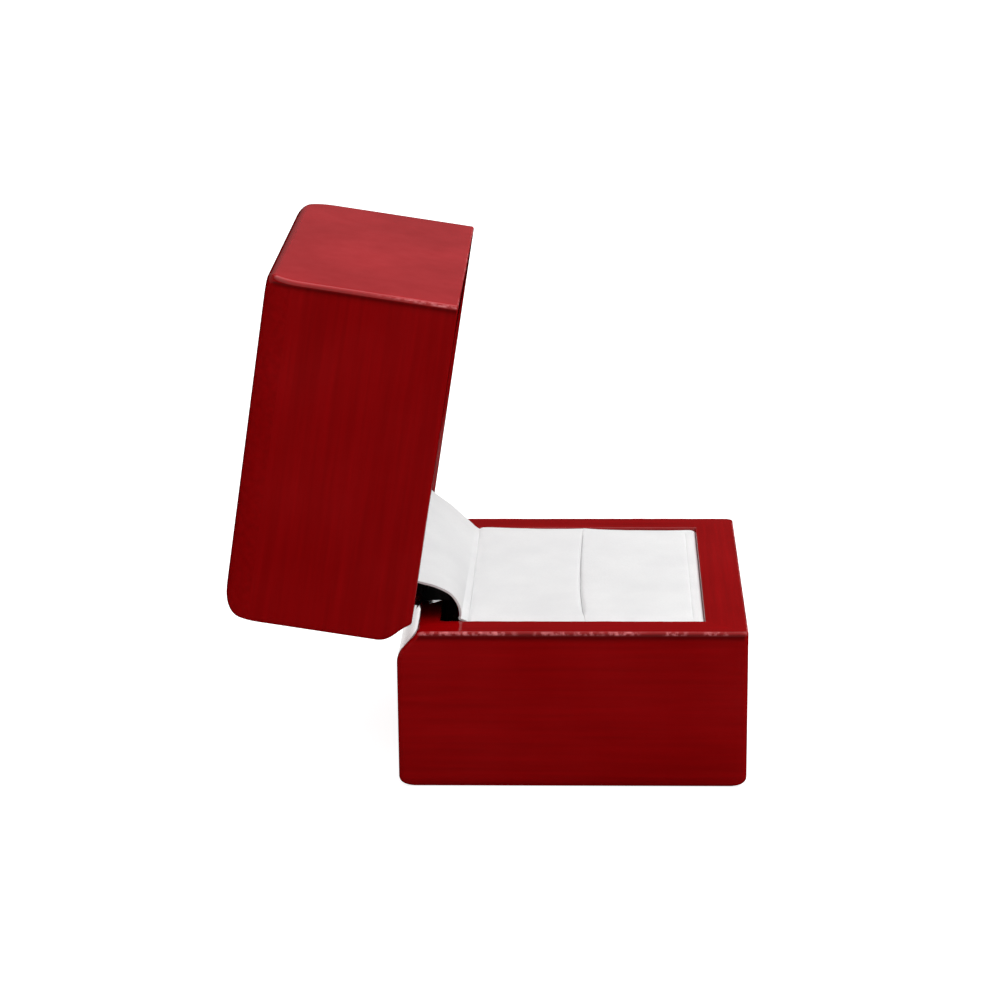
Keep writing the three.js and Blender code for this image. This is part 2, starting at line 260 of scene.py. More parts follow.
def fibreGroup(v):
    # short crossing fibres, for felt, card and foam
    tree, start, end = newGroup(
        "shortFibres",
        [("Vector", "NodeSocketVector", None), ("Fibres", "NodeSocketFloat", 1500.0)],
        [("Height", "NodeSocketFloat"), ("Tone", "NodeSocketFloat")],
    )
    first, second = [
        noiseNode(tree, stretchVector(tree, start.outputs["Vector"], stretch), start.outputs["Fibres"], 2.0, 0.7)
        for stretch in v["directions"]
    ]
    height = mathNode(tree, "MAXIMUM", first, second)
    tree.links.new(height, end.inputs["Height"])
    tree.links.new(rampRange(tree, height, *v["toneSpan"]), end.inputs["Tone"])
    return tree


glintShape = {"strokeSpan": (0.43, 0.66), "runSpan": (0.41, 0.57), "edgeSpan": (0.40, 0.62)}


def glintGroup(v):
    # painted highlight: short glint strokes across the edges, in broken runs
    tree, start, end = newGroup(
        "paintedEdgeGlints",
        [("Vector", "NodeSocketVector", None), ("Across", "NodeSocketVector", (1, 1, 1)),
         ("Edge", "NodeSocketFloat", 0.0), ("Strokes", "NodeSocketFloat", 1000.0),
         ("Runs", "NodeSocketFloat", 210.0)],
        [("Mask", "NodeSocketFloat")],
    )
    across = stretchVector(tree, start.outputs["Vector"], start.outputs["Across"])
    strokes = rampRange(tree, noiseNode(tree, across, start.outputs["Strokes"], 2.0, 0.6), *v["strokeSpan"])
    runs = rampRange(tree, noiseNode(tree, across, start.outputs["Runs"], 1.0), *v["runSpan"])
    edge = rampRange(tree, start.outputs["Edge"], *v["edgeSpan"])
    marks = mathNode(tree, "MULTIPLY", mathNode(tree, "MULTIPLY", strokes, runs), edge)
    tree.links.new(marks, end.inputs["Mask"])
    return tree


woodGrain = grainGroup(grainShape)
pebbledSkin = skinGroup(skinShape)
shortFibres = fibreGroup(fibreShape)
paintedEdgeGlints = glintGroup(glintShape)


def startMaterial(name, color, roughness, metallic=0.0):
    material = bpy.data.materials.new(name)
    material.use_nodes = True
    material.diffuse_color = (*color, 1)
    tree = material.node_tree
    shader = tree.nodes["Principled BSDF"]
    shader.inputs["Base Color"].default_value = (*color, 1)
    shader.inputs["Roughness"].default_value = roughness
    shader.inputs["Metallic"].default_value = metallic
    place = addNode(tree, "ShaderNodeTexCoord")
    return material, tree, shader, place.outputs["Object"]


def addGroup(tree, group, vector, **values):
    node = addNode(tree, "ShaderNodeGroup", node_tree=group)
    tree.links.new(vector, node.inputs["Vector"])
    for label, value in values.items():
        node.inputs[label].default_value = value
    return node


def addBump(tree, shader, height, strength, distance):
    bump = addNode(tree, "ShaderNodeBump")
    bump.inputs["Strength"].default_value = strength
    bump.inputs["Distance"].default_value = distance
    tree.links.new(height, bump.inputs["Height"])
    tree.links.new(bump.outputs["Normal"], shader.inputs["Normal"])


def pointMask(tree, name):
    return addNode(tree, "ShaderNodeAttribute", attribute_name=name).outputs["Fac"]


lacquerLook = {
    "color": (0.315, 0.0006, 0.0016),
    "deep": (0.235, 0.0003, 0.0010),
    "bright": (0.365, 0.0012, 0.0026),
    "poreDepth": 0.35,
    "grainShare": 0.6,
    "cloudLevel": (0.93, 1.05),
    # painted light: the lighter colours of the lid's front
    "litFrontDeep": (0.42, 0.012, 0.016),
    "litFrontBright": (0.51, 0.026, 0.032),
    "mottles": 300.0,
    "mottleShare": 0.45,
    # painted highlight: the colour of the glint strokes along the edges
    "glintColor": (0.72, 0.19, 0.20),
    # painted shade: how dark the line below the edges is painted
    "underEdgeShade": 0.42,
    "roughness": 0.11,
    "cloudRoughness": (0.8, 1.25),
    "edgeRoughness": 0.75,
    "specular": 0.42,
    "bump": (0.3, 0.06 * mm),
}


def makeLacquer(name, stretch, across, v):
    material, tree, shader, vector = startMaterial(name, v["color"], v["roughness"])
    grain = addGroup(tree, woodGrain, vector, Stretch=stretch)
    cloud = grain.outputs["Cloud"]
    streaked = mixColor(tree, grain.outputs["Streak"], v["deep"], v["bright"])
    pored = mixColor(tree, mathNode(tree, "MULTIPLY", grain.outputs["Pore"], v["poreDepth"]), streaked, v["deep"])
    grained = mixColor(tree, v["grainShare"], v["color"], pored)
    # painted light with a mottled tone: the lid's front is painted lighter in clouds, for the brighter light it
    # catches facing up
    mottle = rampRange(tree, noiseNode(tree, vector, v["mottles"], 3.0, 0.6), *noiseSpan)
    fine = mathNode(tree, "MULTIPLY", mottle, v["mottleShare"])
    slow = mathNode(tree, "MULTIPLY", cloud, 1 - v["mottleShare"])
    paintedLitFront = mixColor(tree, mathNode(tree, "ADD", fine, slow), v["litFrontDeep"], v["litFrontBright"])
    base = mixColor(tree, pointMask(tree, "paintedLitFront"), grained, paintedLitFront)
    clouded = scaleColor(tree, base, rampRange(tree, cloud, 0.0, 1.0, *v["cloudLevel"]))
    # painted shade: a dark line just below the outer edges
    underEdgeShade = scaleColor(tree, clouded, rampRange(tree, pointMask(tree, "shadeLine"), 0.0, 1.0, 1.0, v["underEdgeShade"]))
    # painted highlight: pinkish glints in broken strokes along the outer edges
    glintStrokes = addGroup(tree, paintedEdgeGlints, vector, Across=across)
    tree.links.new(pointMask(tree, "glintMask"), glintStrokes.inputs["Edge"])
    tree.links.new(mixColor(tree, glintStrokes.outputs["Mask"], underEdgeShade, v["glintColor"]), shader.inputs["Base Color"])
    rough = rampRange(tree, cloud, 0.0, 1.0, *[v["roughness"] * share for share in v["cloudRoughness"]])
    dull = mathNode(tree, "MULTIPLY", pointMask(tree, "edge"), v["edgeRoughness"])
    tree.links.new(mathNode(tree, "MAXIMUM", rough, dull), shader.inputs["Roughness"])
    shader.inputs["Specular IOR Level"].default_value = v["specular"]
    # the lacquer lies in very slow waves
    addBump(tree, shader, grain.outputs["Wave"], *v["bump"])
    return material


lacquerAlongY = makeLacquer("redLacquerSides", (1, 0.035, 1), (0.1, 1, 1), lacquerLook)
lacquerAlongX = makeLacquer("redLacquerEnds", (0.035, 1, 1), (1, 0.1, 1), lacquerLook)

leatherLook = {
    "color": (0.86, 0.86, 0.86),
    "shade": (0.80, 0.80, 0.805),
    "creaseShade": 0.25,
    "roughness": 0.52,
    "creaseRoughness": 0.70,
    "specular": 0.35,
    "sheen": 0.08,
    "sheenRoughness": 0.5,
    "bump": (0.35, 0.04 * mm),
}


def makeLeatherette(v):
    material, tree, shader, vector = startMaterial("whiteLeatherette", v["color"], v["roughness"])
    skin = addGroup(tree, pebbledSkin, vector)
    crease = skin.outputs["Crease"]
    toned = mixColor(tree, skin.outputs["Tone"], v["shade"], v["color"])
    creased = mixColor(tree, mathNode(tree, "MULTIPLY", crease, v["creaseShade"]), toned, v["shade"])
    tree.links.new(creased, shader.inputs["Base Color"])
    rough = rampRange(tree, crease, 0.0, 1.0, v["roughness"], v["creaseRoughness"])
    tree.links.new(rough, shader.inputs["Roughness"])
    shader.inputs["Specular IOR Level"].default_value = v["specular"]
    shader.inputs["Sheen Weight"].default_value = v["sheen"]
    shader.inputs["Sheen Roughness"].default_value = v["sheenRoughness"]
    addBump(tree, shader, skin.outputs["Height"], *v["bump"])
    return material


leatherette = makeLeatherette(leatherLook)

fibrousLooks = {
    "blackFelt": {"dark": (0.006, 0.006, 0.006), "light": (0.035, 0.034, 0.034), "roughness": 0.95,
                  "sheen": 0.3, "fibres": 1400.0, "bump": (0.6, 0.2 * mm)},
    "greyCard": {"dark": (0.36, 0.29, 0.20), "light": (0.50, 0.42, 0.30), "roughness": 0.9,
                 "sheen": 0.0, "fibres": 900.0, "bump": (0.6, 0.06 * mm)},
    # the flap's cloth backing is coloured near black: painted shade for the dark recess under the flap
    "clothBackingPaintedShade": {"dark": (0.045, 0.010, 0.010), "light": (0.085, 0.026, 0.024), "roughness": 0.95,
                     "sheen": 0.0, "fibres": 2600.0, "bump": (0.6, 0.06 * mm)},
}


def makeFibrous(name):
    v = fibrousLooks[name]
    material, tree, shader, vector = startMaterial(name, v["light"], v["roughness"])
    cloth = addGroup(tree, shortFibres, vector, Fibres=v["fibres"])
    tree.links.new(mixColor(tree, cloth.outputs["Tone"], v["dark"], v["light"]), shader.inputs["Base Color"])
    shader.inputs["Sheen Weight"].default_value = v["sheen"]
    addBump(tree, shader, cloth.outputs["Height"], *v["bump"])
    return material


blackFelt = makeFibrous("blackFelt")
greyCard = makeFibrous("greyCard")
clothBackingPaintedShade = makeFibrous("clothBackingPaintedShade")

boardLook = {
    "color": (0.42, 0.24, 0.12),
    "dark": (0.30, 0.16, 0.075),
    "light": (0.47, 0.29, 0.15),
    "roughness": 0.75,
    "stretch": (0.05, 1, 1),
    "streaks": 600.0,
    "bump": (0.4, 0.06 * mm),
}


def makeBareWood(v):
    material, tree, shader, vector = startMaterial("bareBoard", v["color"], v["roughness"])
    grain = addGroup(tree, woodGrain, vector, Stretch=v["stretch"], Streaks=v["streaks"])
    streak = grain.outputs["Streak"]
    tree.links.new(mixColor(tree, streak, v["dark"], v["light"]), shader.inputs["Base Color"])
    addBump(tree, shader, streak, *v["bump"])
    return material


bareBoard = makeBareWood(boardLook)

metalLooks = {
    "bluedSteel": {"dark": (0.035, 0.035, 0.04), "light": (0.09, 0.09, 0.10), "roughness": 0.3},
    "springSteel": {"dark": (0.20, 0.20, 0.21), "light": (0.32, 0.32, 0.33), "roughness": 0.25},
    "brass": {"dark": (0.38, 0.25, 0.09), "light": (0.60, 0.43, 0.18), "roughness": 0.34},
}
drawnLines = {"stretch": (0.04, 1, 1), "streaks": 9000.0, "clouds": 220.0, "roughness": (0.85, 1.2),
              "bump": (0.1, 0.004 * mm)}


def makeMetal(name):
    # drawn metal: very fine lines along X and a slow stain
    v, drawn = metalLooks[name], drawnLines
    material, tree, shader, vector = startMaterial(name, v["light"], v["roughness"], 1.0)
    grain = addGroup(tree, woodGrain, vector, Stretch=drawn["stretch"], Streaks=drawn["streaks"],
                     Clouds=drawn["clouds"])
    tree.links.new(mixColor(tree, grain.outputs["Cloud"], v["dark"], v["light"]), shader.inputs["Base Color"])
    span = [v["roughness"] * share for share in drawn["roughness"]]
    tree.links.new(rampRange(tree, grain.outputs["Streak"], 0.0, 1.0, *span), shader.inputs["Roughness"])
    addBump(tree, shader, grain.outputs["Streak"], *drawn["bump"])
    return material


bluedSteel = makeMetal("bluedSteel")
springSteel = makeMetal("springSteel")
brassMetal = makeMetal("brass")
print("materials made")

# mesh helpers


def linkMesh(name, bm, material, smoothAngle=40):
    bmesh.ops.recalc_face_normals(bm, faces=bm.faces)
    for face in bm.faces:
        face.smooth = True
    limit = math.radians(smoothAngle)
    for edge in bm.edges:
        edge.smooth = len(edge.link_faces) == 2 and edge.calc_face_angle(0.0) < limit
    mesh = bpy.data.meshes.new(name)
    bm.to_mesh(mesh)
    bm.free()
    piece = bpy.data.objects.new(name, mesh)
    bpy.context.scene.collection.objects.link(piece)
    piece.data.materials.append(material)
    return piece


def settle(piece, body, slot, *cadNodes):
    piece.matrix_world = bodyPlace[body]
    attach(piece, body)
    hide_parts(*cadNodes)


def applyModifiers(piece):
    graph = bpy.context.evaluated_depsgraph_get()
    made = bpy.data.meshes.new_from_object(piece.evaluated_get(graph))
    old = piece.data
    piece.modifiers.clear()
    piece.data = made
    bpy.data.meshes.remove(old)


def portion(value, low, high):
    return min(max((value - low) / (high - low), 0), 1)


def smoothStep(value, low, high):
    t = portion(value, low, high)
    return t * t * (3 - 2 * t)


def quarterTurn(count):
    return [math.pi / 2 * k / count for k in range(count + 1)]


def boxMesh(low, high):
    bm = bmesh.new()
    bmesh.ops.create_cube(bm, size=1)
    for vert in bm.verts:
        vert.co = Vector([low[i] + (vert.co[i] + 0.5) * (high[i] - low[i]) for i in range(3)])
    return bm


def slicePlane(bm, at, normal, clear=False):
    everything = bm.verts[:] + bm.edges[:] + bm.faces[:]
    bmesh.ops.bisect_plane(bm, geom=everything, plane_co=at, plane_no=normal, clear_outer=clear)


def roundedLoop(left, right, front, rear, radius, height, steps):
    # one level outline, from the front left and round by the right
    corners = [(right, front, -90), (right, rear, 0), (left, rear, 90), (left, front, 180)]
    centres = []
    for x, y, turn in corners:
        inX = -radius if x == right else radius
        inY = radius if y == front else -radius
        centres.append((x + inX, y + inY, turn))
    points = []
    for i, (x, y, turn) in enumerate(centres):
        arc = []
        for k in range(steps["corner"] + 1):
            angle = math.radians(turn + 90 * k / steps["corner"])
            arc.append(Vector((x + radius * math.cos(angle), y + radius * math.sin(angle), height)))
        nextX, nextY, nextTurn = centres[(i + 1) % 4]
        angle = math.radians(nextTurn)
        ahead = Vector((nextX + radius * math.cos(angle), nextY + radius * math.sin(angle), height))
        points += arc
        for k in range(1, steps["side"]):
            points.append(arc[-1].lerp(ahead, k / steps["side"]))
    return points


def skinLoops(loops, ring=False):
    # a closed skin over level outlines, joined end to end or capped at both ends
    bm = bmesh.new()
    rows = [[bm.verts.new(p) for p in loop] for loop in loops]
    pairs = list(zip(rows, rows[1:]))
    if ring:
        pairs.append((rows[-1], rows[0]))
    for a, b in pairs:
        for i in range(len(a)):
            j = (i + 1) % len(a)
            bm.faces.new((a[i], a[j], b[j], b[i]))
    if not ring:
        bm.faces.new(rows[0])
        bm.faces.new(list(reversed(rows[-1])))
    return bm


# case

caseShape = {
    "uprightRadius": 0.9 * mm,
    "uprightGrowth": {"rim": 0.4, "foot": 0.5, "top": 0.45},
    "footRadius": 1.6 * mm,
    "footSide": 0.3,
    "wellRadius": 0.25 * mm,
    "rimBevel": 0.4 * mm,
    "rimInnerBevel": 0.3 * mm,
    "rimSupport": (0.12 * mm, 0.6 * mm),
    "rimUnevenness": 0.16,
    "rimWaves": (420, 1100, 0.6),
    "hollowDepth": 3.5 * mm,
    "hollowHeight": 5.3 * mm,
    "hollowPulls": ((0.3, 0.42), (0.95, 0.5)),
    "support": 0.3 * mm,
    "lidSideRadius": 6.2 * mm,
    "lidFrontRadius": 2.1 * mm,
    "lidRearRadius": 3 * mm,
    "housing": {"gap": 0.3 * mm, "inward": 3 * mm},
    "sideFace": 0.05 * mm,
    # painted highlight: the edge zone, and how the glint strokes fade up the lid
    "edgeWidth": 1.0 * mm,
    "glintFade": (9 * mm, 20 * mm),
    "glintLoss": 0.7,
    # painted shade: where the dark line below the edges lies
    "shadeLineFrom": 0.9 * mm,
    "shadeLineWidth": 0.5 * mm,
    # painted light: the lid's front face is painted lighter, fading out just past its edges
    "litFrontFrom": (0.05 * mm, 0.35 * mm),
    "steps": {"side": 90, "corner": 8, "bevel": 5, "foot": 7, "hollow": 16, "lidSide": 3, "top": 22},
}

baseLow = Vector((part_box("base_left_wall")[0].x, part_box("base_front_wall")[0].y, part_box("base_left_wall")[0].z))
baseHigh = Vector((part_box("base_right_wall")[1].x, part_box("base_rear_wall")[1].y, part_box("base_left_wall")[1].z))
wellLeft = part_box("base_left_wall")[1].x
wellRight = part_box("base_right_wall")[0].x
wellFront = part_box("base_front_wall")[1].y
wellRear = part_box("base_rear_wall")[0].y
lidRim = shutBox("lid_left_wall")[0].z
lidCeiling = shutBox("lid_top_panel")[0].z
lidTop = shutBox("lid_top_panel")[1].z


def roundInset(distance, radius):
    # how far a rounded edge has drawn in, at this distance from the face that it rounds over
    if distance >= radius:
        return 0.0
    return radius - math.sqrt(max(radius * radius - (radius - distance) ** 2, 0.0))


def pulledCurve(t, first, second):
    # a Bezier curve from 0 to 1 with two pulls
    return 3 * (1 - t) ** 2 * t * first + 3 * (1 - t) * t * t * second + t**3


def hollowInset(fromRim, v):
    # the scooped rear edge: a curve from the rim down to the back
    (u1, v1), (u2, v2) = v["hollowPulls"]
    if fromRim >= v["hollowHeight"]:
        return 0.0
    low, high = 0.0, 1.0
    for _ in range(30):
        t = (low + high) / 2
        if pulledCurve(t, v1, v2) * v["hollowHeight"] < fromRim:
            low = t
        else:
            high = t
    return v["hollowDepth"] * (1 - pulledCurve((low + high) / 2, u1, u2))


def outerLoop(height, insets, v, growth=0.0):
    side, front, rear = insets
    return roundedLoop(
        baseLow.x + side, baseHigh.x - side, baseLow.y + front, baseHigh.y - rear,
        v["uprightRadius"] + growth, height, v["steps"],
    )


def innerLoop(height, inset, v):
    return roundedLoop(
        wellLeft - inset, wellRight + inset, wellFront - inset, wellRear + inset,
        v["wellRadius"] + inset, height, v["steps"],
    )


def unevenEdge(loop, seed, amount, v):
    # lacquer builds up along an edge, so the edge isn't quite straight
    slow, fast, part = v["rimWaves"]
    out = []
    for p in loop:
        wave = noise.noise(Vector((p.x, p.y, seed)) * slow) + part * noise.noise(Vector((p.y, p.x, seed)) * fast)
        out.append(Vector((p.x, p.y, p.z + amount * wave)))
    return out


def rimLoops(rim, up, v):
    # the outside bevel, the flat of the rim and the inside bevel; up is 1 for the lid
    loops = []
    grow = v["uprightGrowth"]["rim"]
    for angle in quarterTurn(v["steps"]["bevel"]):
        drop = v["rimBevel"] * (1 - math.sin(angle))
        inset = v["rimBevel"] * (1 - math.cos(angle))
        rear = hollowInset(drop, v) + inset
        loop = outerLoop(rim + up * drop, (inset, inset, rear), v, inset * grow)
        bend = math.sin(angle * 2) * v["rimBevel"] * v["rimUnevenness"]
        loops.append(unevenEdge(loop, rim, bend, v))
    for support in v["rimSupport"]:
        flat = v["rimBevel"] + support
        loops.append(outerLoop(rim, (flat, flat, v["hollowDepth"] + flat), v, flat * grow))
    loops.append(innerLoop(rim, v["rimInnerBevel"] + v["rimSupport"][0], v))
    for angle in quarterTurn(v["steps"]["bevel"]):
        drop = v["rimInnerBevel"] * (1 - math.cos(angle))
        inset = v["rimInnerBevel"] * (1 - math.sin(angle))
        bend = math.sin(angle * 2) * v["rimInnerBevel"] * v["rimUnevenness"]
        loops.append(unevenEdge(innerLoop(rim + up * drop, inset, v), rim + 1, bend, v))
    return loops


def hollowLoops(rim, up, support, v):
    # from the rim's bevel out to where the hollow meets the back, and one more to hold the edge there
    loops = []
    count = v["steps"]["hollow"]
    for k in range(1, count + 1):
        fromRim = v["rimBevel"] + (v["hollowHeight"] - v["rimBevel"]) * (k / count)
        loops.append(outerLoop(rim + up * fromRim, (0, 0, hollowInset(fromRim, v)), v))
    loops.append(outerLoop(rim + up * (v["hollowHeight"] + support), (0, 0, 0), v))
    return loops


def baseLoops(v):
    loops = []
    for angle in quarterTurn(v["steps"]["foot"]):
        inset = v["footRadius"] * (1 - math.sin(angle))
        height = baseLow.z + v["footRadius"] * (1 - math.cos(angle))
        grow = inset * v["uprightGrowth"]["foot"]
        loops.append(outerLoop(height, (inset * v["footSide"], inset, inset), v, grow))
    loops += reversed(hollowLoops(baseHigh.z, -1, v["rimBevel"] + v["support"], v))
    return loops + rimLoops(baseHigh.z, -1, v) + [innerLoop(baseLow.z, 0, v)]


def lidWallLoops(v):
    loops = [innerLoop(lidCeiling, 0, v)]
    loops += reversed(rimLoops(lidRim, 1, v))
    loops += hollowLoops(lidRim, 1, v["support"], v)
    start = min(lidTop - v["lidSideRadius"], lidCeiling - v["support"])
    count = v["steps"]["lidSide"]
    for k in range(count + 1):
        height = start + (lidCeiling - start) * k / count
        loops.append(outerLoop(height, (roundInset(lidTop - height, v["lidSideRadius"]), 0, 0), v))
    return loops


def lidTopLoops(v):
    loops = []
    for angle in quarterTurn(v["steps"]["top"]):
        distance = (lidTop - lidCeiling) * (1 - math.sin(angle))
        insets = [roundInset(distance, v[r]) for r in ("lidSideRadius", "lidFrontRadius", "lidRearRadius")]
        grow = v["uprightGrowth"]["top"] * sum(insets) / len(insets)
        loops.append(outerLoop(lidTop - distance, insets, v, grow))
    return loops


def cutBoard(bm, side, v):
    # keeps one wall of the ring, between the mitres of its two corners
    signX, signY = {"left": (-1, 0), "right": (1, 0), "front": (0, -1), "rear": (0, 1)}[side]
    ends = [(signX or s, signY or s) for s in (-1, 1)]
    keep = Vector((signX * (baseHigh.x + wellRight) / 2, signY * (baseHigh.y + wellRear) / 2, 0))
    for cornerX, cornerY in ends:
        inner = Vector((cornerX * wellRight, cornerY * wellRear, 0))
        outer = Vector((cornerX * baseHigh.x, cornerY * baseHigh.y, 0))
        normal = (outer - inner).cross(Vector((0, 0, 1))).normalized()
        if (keep - inner).dot(normal) > 0:
            normal = -normal
        slicePlane(bm, inner, normal, True)
        rim = [e for e in bm.edges if len(e.link_faces) == 1]
        bmesh.ops.edgeloop_fill(bm, edges=rim)
    return bm


def cutHousing(piece, body, v):
    # room for the hinge leaf and its knuckles, cut with a box and a round bar
    reach = shutBox(f"hinge_{body}_leaf")[1].x + v["gap"]
    depth = abs(shutBox("hinge_base_leaf")[1].z - hingeAxis.z)
    low = Vector((-reach, wellRear - v["inward"], hingeAxis.z - depth))
    high = Vector((reach, hingeAxis.y, hingeAxis.z + depth))
    bm = boxMesh(low, high)
    radius = depth + v["gap"]
    bar = bmesh.ops.create_cone(bm, cap_ends=True, segments=48, radius1=radius, radius2=radius, depth=reach * 2)
    turn = Matrix.Translation(hingeAxis) @ Matrix.Rotation(math.pi / 2, 4, "Y")
    bmesh.ops.transform(bm, matrix=turn, verts=bar["verts"])
    cutter = linkMesh("housingCutter", bm, piece.data.materials[0])
    cut = piece.modifiers.new("housing", "BOOLEAN")
    cut.operation = "DIFFERENCE"
    cut.solver = "EXACT"
    cut.use_self = True
    cut.object = cutter
    applyModifiers(piece)
    bpy.data.objects.remove(cutter)


def markPoints(piece, v, rim):
    # masks over the points: the outer edges and their painted glints, the painted shade line below them, and the lid's
    # front painted lighter
    mesh = piece.data
    names = ("edge", "glintMask", "shadeLine", "paintedLitFront")
    for name in names:
        mesh.attributes.new(name, "FLOAT", "POINT")
    edge, glintMask, shadeLine, paintedLitFront = [mesh.attributes[name].data for name in names]
    isLid = rim > baseHigh.z
    for i, vert in enumerate(mesh.vertices):
        p = vert.co
        side = min(abs(p.x - baseLow.x), abs(p.x - baseHigh.x))
        if isLid:
            side = abs(side - roundInset(lidTop - p.z, v["lidSideRadius"]))
        front = abs(p.y - baseLow.y)
        level = abs(p.z - rim)
        onSide = math.hypot(side, front if isLid else level)
        edge[i].value = max(0.0, 1 - min(onSide, math.hypot(front, level) * 2) / v["edgeWidth"])
        # painted highlight: the mask of the glint strokes, fading up the lid
        fade = smoothStep(p.z - rim, *v["glintFade"]) if isLid else 0.0
        glintMask[i].value = edge[i].value * (1 - v["glintLoss"] * fade)
        # painted shade: the dark line just below the edges
        if side < v["sideFace"]:
            below = (onSide - v["shadeLineFrom"]) / v["shadeLineWidth"]
            shadeLine[i].value = math.exp(-below * below)
        # painted light: the lid's front face is painted lighter
        paintedLitFront[i].value = 1 - portion(front, *v["litFrontFrom"]) if isLid else 0.0


def makeCase(v):
    lacquers = {"left": lacquerAlongY, "right": lacquerAlongY, "front": lacquerAlongX, "rear": lacquerAlongX}
    for body, loops in (("base", baseLoops(v)), ("lid", lidWallLoops(v))):
        for side, lacquer in lacquers.items():
            bm = cutBoard(skinLoops(loops, ring=True), side, v)
            piece = linkMesh(f"{body}{side.capitalize()}Board", bm, lacquer)
            if side == "rear":
                cutHousing(piece, body, v["housing"])
            markPoints(piece, v, baseHigh.z if body == "base" else lidRim)
            settle(piece, body, "lacquered_wood", f"{body}_{side}_wall")
    panel = linkMesh("lidTopBoard", skinLoops(lidTopLoops(v)), lacquerAlongX)
    markPoints(panel, v, lidRim)
    settle(panel, "lid", "lacquered_wood", "lid_top_panel")


makeCase(caseShape)
print("case boards made")

# pads

padShape = {
    "edgeRadius": 0.5 * mm,
    "growth": 0.24 * mm,
    "oversize": 0.8 * mm,
    "voxel": 0.9 * mm,
    "cloth": {"scale": 10, "held": 6 * mm, "quality": 6, "pressure": 4, "stretch": 30, "bend": 2, "frames": 20},
    "cap": 0.32 * mm,
    "dome": 0.2 * mm,
    "creaseFrom": 1.9 * mm,
    "creaseDepth": 0.24 * mm,
    "creaseWidth": 0.45 * mm,
    "creaseReach": 1.5 * mm,
    "creaseEnd": (0.8 * mm, 3 * mm),
    "creaseNoise": (0.8, 0.5, 150),
    "sideCrease": 0.5,
    "seamWidth": 0.16 * mm,
    "slit": 0.03 * mm,
    "slitRadius": (0.35 * mm, 1.0 * mm),
    "slitShift": 0.15 * mm,
    "slitEnd": (2.5 * mm, 7 * mm),
    "slitOversize": 1.2 * mm,
    "slitSway": (0.45 * mm, 1.1 * mm),
    "swayPower": 2.2,
    "swayReach": 8 * mm,
    "edgeDepth": 3 * mm,
    "rearRadius": 0.4 * mm,
    "rearReach": -0.5 * mm,
    "lift": 0.65 * mm,
    "liftDepth": 8 * mm,
    "liftFrom": -5 * mm,
    "liftAlong": (-22 * mm, 14 * mm),
    "fill": 0.85,
}


def slitMove(x, v):
    # how far the slit between the pads leaves its straight line
    sway = v["slitSway"][0 if x > 0 else 1]
    return v["slitShift"] - sway * (abs(x) / wellRight) ** v["swayPower"]


def softBlock(name, low, high, v, up):
    # a block with a rounded upper edge; up is -1 for the lid's pad, which faces down when shut
    bm = boxMesh(low, high)
    face = high.z if up > 0 else low.z
    edges = [e for e in bm.edges if any(abs(p.co.z - face) < 1e-7 for p in e.verts)]
    bmesh.ops.bevel(bm, geom=edges, offset=v["edgeRadius"], segments=4, profile=0.5, affect="EDGES")
    return linkMesh(name, bm, leatherette, 180)


def pumpUp(piece, glued, v):
    # the leatherette is pulled over foam: cloth with a little pressure, held at its glued edge
    scale = v["cloth"]["scale"]
    piece.data.transform(Matrix.Scale(scale, 4))
    remesh = piece.modifiers.new("remesh", "REMESH")
    remesh.mode = "VOXEL"
    remesh.voxel_size = v["voxel"] * scale
    remesh.use_smooth_shade = True
    applyModifiers(piece)
    held = piece.vertex_groups.new(name="held")
    near = [vert.index for vert in piece.data.vertices if abs(vert.co.z / scale - glued) < v["cloth"]["held"]]
    held.add(near, 1.0, "REPLACE")
    before = [vert.co.copy() for vert in piece.data.vertices]
    cloth = piece.modifiers.new("cloth", "CLOTH")
    cloth.settings.quality = v["cloth"]["quality"]
    cloth.settings.use_pressure = True
    cloth.settings.uniform_pressure_force = v["cloth"]["pressure"]
    cloth.settings.tension_stiffness = v["cloth"]["stretch"]
    cloth.settings.compression_stiffness = v["cloth"]["stretch"]
    cloth.settings.bending_stiffness = v["cloth"]["bend"]
    cloth.settings.effector_weights.gravity = 0
    cloth.settings.vertex_group_mass = "held"
    cloth.point_cache.frame_start = 1
    cloth.point_cache.frame_end = v["cloth"]["frames"]
    for number in range(1, v["cloth"]["frames"] + 1):
        bpy.context.scene.frame_set(number)
    applyModifiers(piece)
    for vert, was in zip(piece.data.vertices, before):
        move = vert.co - was
        if move.length > v["cap"] * scale:
            vert.co = was + move.normalized() * v["cap"] * scale
    bpy.context.scene.frame_set(1)
    piece.data.transform(Matrix.Scale(1 / scale, 4))


